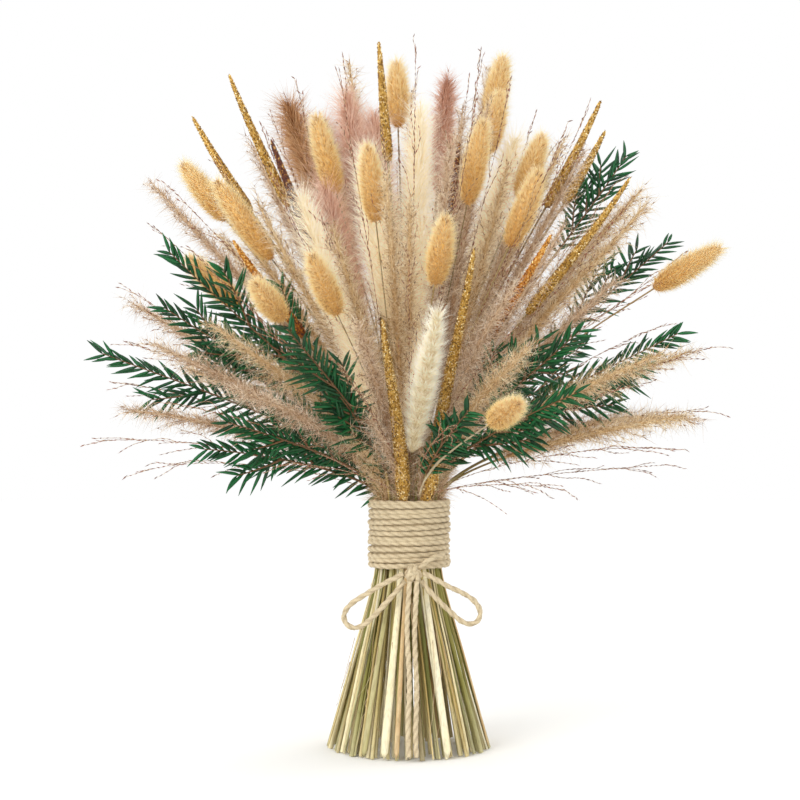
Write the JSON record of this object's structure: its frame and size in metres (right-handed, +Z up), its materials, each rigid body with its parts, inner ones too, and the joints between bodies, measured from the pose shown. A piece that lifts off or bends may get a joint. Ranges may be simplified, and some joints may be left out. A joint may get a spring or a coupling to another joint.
{
  "type": "tied bundle of pampas grass and dried flowers",
  "caption": "Standing bunch of dried pampas plumes, bunny tails, gilded spikes and leaf sprigs, bound at the waist with jute twine and a bow, on flared level-cut stems.",
  "frame": {"origin": "middle of the foot, on the surface that the cut stem ends stand on", "axes": "+Z up along the middle of the bunch, -Y to the front, where the bow is, +X to the right seen from the front"},
  "size_m": [0.391, 0.245, 0.443],
  "materials": {
    "bunny_fluff": "matte",
    "gilt": "satin",
    "bronze_gilt": "satin",
    "copper_gilt": "satin",
    "white_plume": "matte",
    "cream_plume": "matte",
    "brown_plume": "matte",
    "mauve_plume": "matte",
    "reed_straw": "matte",
    "leaf": "satin",
    "jute": "matte"
  },
  "bodies": {
    "root": {"bunny_tail_1": "bunny_fluff", "bunny_tail_2": "bunny_fluff", "bunny_tail_3": "bunny_fluff", "bunny_tail_4": "bunny_fluff", "bunny_tail_5": "bunny_fluff", "bunny_tail_6": "bunny_fluff", "bunny_tail_7": "bunny_fluff", "bunny_tail_8": "bunny_fluff", "bunny_tail_9": "bunny_fluff", "bunny_tail_10": "bunny_fluff", "bunny_tail_11": "bunny_fluff", "bunny_tail_12": "bunny_fluff", "bunny_tail_13": "bunny_fluff", "bunny_tail_14": "bunny_fluff", "bunny_tail_15": "bunny_fluff", "bunny_tail_16": "bunny_fluff", "bunny_tail_17": "bunny_fluff", "bunny_tail_18": "bunny_fluff", "gold_spike_1": "gilt", "gold_spike_2": "gilt", "gold_spike_3": "gilt", "gold_spike_4": "gilt", "gold_spike_5": "gilt", "gold_spike_6": "gilt", "gold_spike_7": "gilt", "gold_spike_8": "gilt", "bronze_spike_1": "bronze_gilt", "bronze_spike_2": "bronze_gilt", "copper_spike_1": "copper_gilt", "copper_spike_2": "copper_gilt", "foxtail_plume": "white_plume", "cream_plume_1": "cream_plume", "cream_plume_2": "cream_plume", "cream_plume_3": "cream_plume", "brown_plume": "brown_plume", "mauve_plume_1": "mauve_plume", "mauve_plume_2": "mauve_plume", "leaf_sprig_1": "leaf", "leaf_sprig_2": "leaf", "leaf_sprig_3": "leaf", "leaf_sprig_4": "leaf", "leaf_sprig_5": "leaf", "leaf_sprig_6": "leaf", "leaf_sprig_7": "leaf", "leaf_sprig_8": "leaf", "leaf_sprig_9": "leaf", "leaf_sprig_10": "leaf", "reed_plume_1": "reed_straw", "reed_plume_2": "reed_straw", "reed_plume_3": "reed_straw", "reed_plume_4": "reed_straw", "reed_plume_5": "reed_straw", "reed_plume_6": "reed_straw", "reed_plume_7": "reed_straw", "twine_wrap": "jute", "twine_knot": "jute", "bow_loop_left": "jute", "bow_loop_right": "jute", "twine_tail_left": "jute", "twine_tail_right": "jute"}
  },
  "joints": []
}
